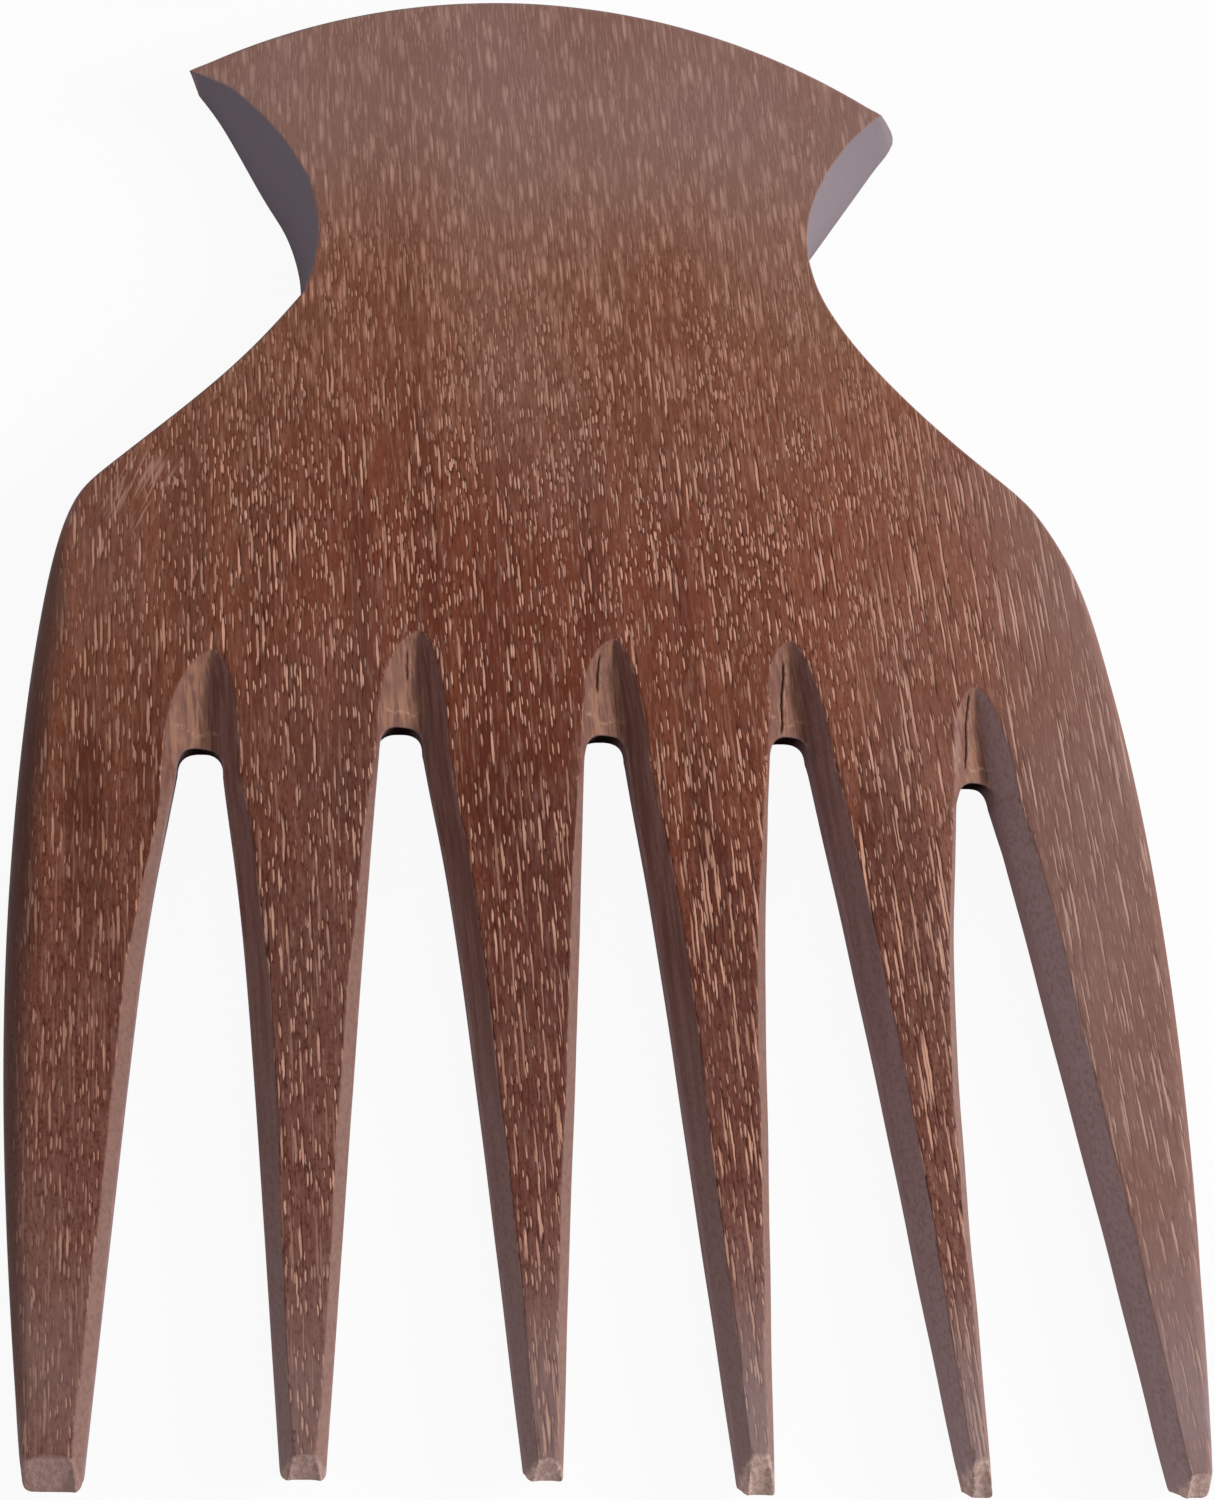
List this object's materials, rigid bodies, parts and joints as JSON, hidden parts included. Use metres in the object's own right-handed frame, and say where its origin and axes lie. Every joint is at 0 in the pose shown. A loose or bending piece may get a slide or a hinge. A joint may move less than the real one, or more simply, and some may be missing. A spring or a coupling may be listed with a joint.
{
  "type": "hair pick",
  "caption": "Flat wooden hair pick with long fanned tapering tines, a palm-held body with curved shoulders and a flared crown with carved hollows under its corners.",
  "frame": {"origin": "centre of the outline's box, on the flat back face that the pick lies on", "axes": "+X to the right across the front face, +Y from the tips of the tines to the crown, +Z out of the front face"},
  "size_m": [0.121, 0.15, 0.0085],
  "materials": {
    "crown_wood": "oiled, worn paler at the edges",
    "palm_wood": "oiled, open pores",
    "tine_wood": "oiled, rough end grain at the tips"
  },
  "bodies": {
    "root": {"crown": "crown_wood", "palm": "palm_wood", "tine_1": "tine_wood", "tine_2": "tine_wood", "tine_3": "tine_wood", "tine_4": "tine_wood", "tine_5": "tine_wood", "tine_6": "tine_wood"}
  },
  "joints": []
}
